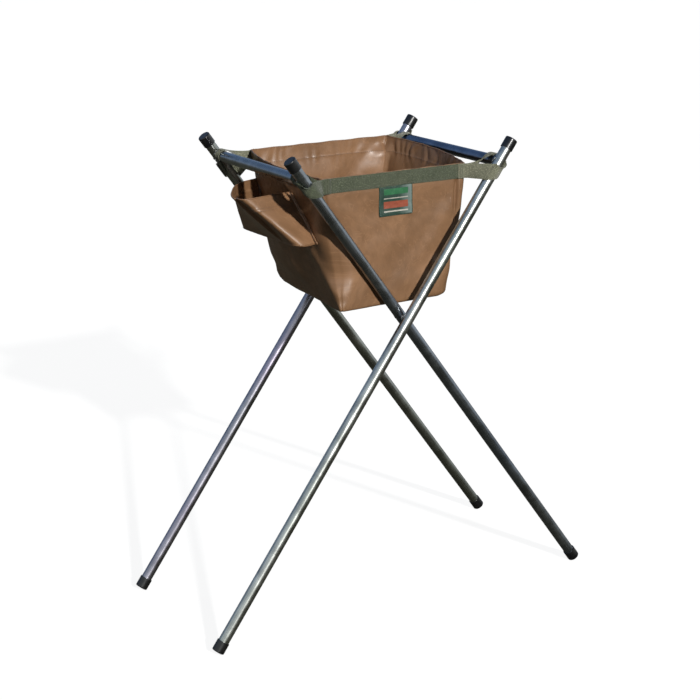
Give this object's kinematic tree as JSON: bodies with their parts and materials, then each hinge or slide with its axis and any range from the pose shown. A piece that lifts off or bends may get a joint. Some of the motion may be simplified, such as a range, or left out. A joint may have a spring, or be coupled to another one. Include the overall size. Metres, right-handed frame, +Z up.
{
  "type": "folding basin stand",
  "caption": "Folding camp basin stand: crossed tube frames with top rails carry a fabric basin on webbing straps, with a side pocket.",
  "frame": {"origin": "on the ground, under the middle of the stand and of its two pivots", "axes": "+X from the left rail to the right rail, +Y from the front to the rear, +Z up"},
  "size_m": [0.7756, 0.3623, 0.8252],
  "materials": {
    "tube_steel": "bright zinc plate with a soft sheen",
    "fastener_steel": "bright zinc plate",
    "cap_plastic": "black, slightly glossy",
    "spacer_nylon": "natural nylon",
    "coated_fabric": "brown coated fabric with a satin shine",
    "webbing": "olive ribbed webbing",
    "label": "woven patch in dark green with plain bands"
  },
  "bodies": {
    "left_frame": {"left_rail": "tube_steel", "left_frame_front_leg": "tube_steel", "left_frame_rear_leg": "tube_steel", "left_frame_front_top_cap": "cap_plastic", "left_frame_rear_top_cap": "cap_plastic", "left_frame_front_foot": "cap_plastic", "left_frame_rear_foot": "cap_plastic", "rear_pivot_stud": "fastener_steel", "rear_pivot_spacer": "spacer_nylon", "rear_pivot_washer": "fastener_steel", "rear_pivot_nut": "fastener_steel", "front_left_strap_loop": "webbing", "rear_left_strap_loop": "webbing"},
    "right_frame": {"right_rail": "tube_steel", "right_frame_front_leg": "tube_steel", "right_frame_rear_leg": "tube_steel", "right_frame_front_top_cap": "cap_plastic", "right_frame_rear_top_cap": "cap_plastic", "right_frame_front_foot": "cap_plastic", "right_frame_rear_foot": "cap_plastic", "front_pivot_stud": "fastener_steel", "front_pivot_spacer": "spacer_nylon", "front_pivot_washer": "fastener_steel", "front_pivot_nut": "fastener_steel", "front_right_strap_loop": "webbing", "rear_right_strap_loop": "webbing"},
    "basin": {"front_panel": "coated_fabric", "rear_panel": "coated_fabric", "left_panel": "coated_fabric", "right_panel": "coated_fabric", "floor_panel": "coated_fabric", "front_strap": "webbing", "rear_strap": "webbing", "side_pocket": "coated_fabric", "label_patch": "label"}
  },
  "joints": [
    {"name": "frame_fold", "type": "hinge", "parent": "left_frame", "child": "right_frame", "pos_m": [0, 0, 0.52829], "axis": [0, -1, 0], "range_deg": [0, 62], "deforming": ["front_panel", "rear_panel", "left_panel", "right_panel", "floor_panel", "front_strap", "rear_strap", "side_pocket", "label_patch"]},
    {"name": "basin_swing", "type": "hinge", "parent": "left_frame", "child": "basin", "pos_m": [-0.18515, 0, 0.78313], "axis": [0, -1, 0], "range_deg": [0, 31]}
  ],
  "couplings": [
    {"joint": "basin_swing", "follows": "frame_fold", "ratio": 0.5}
  ]
}
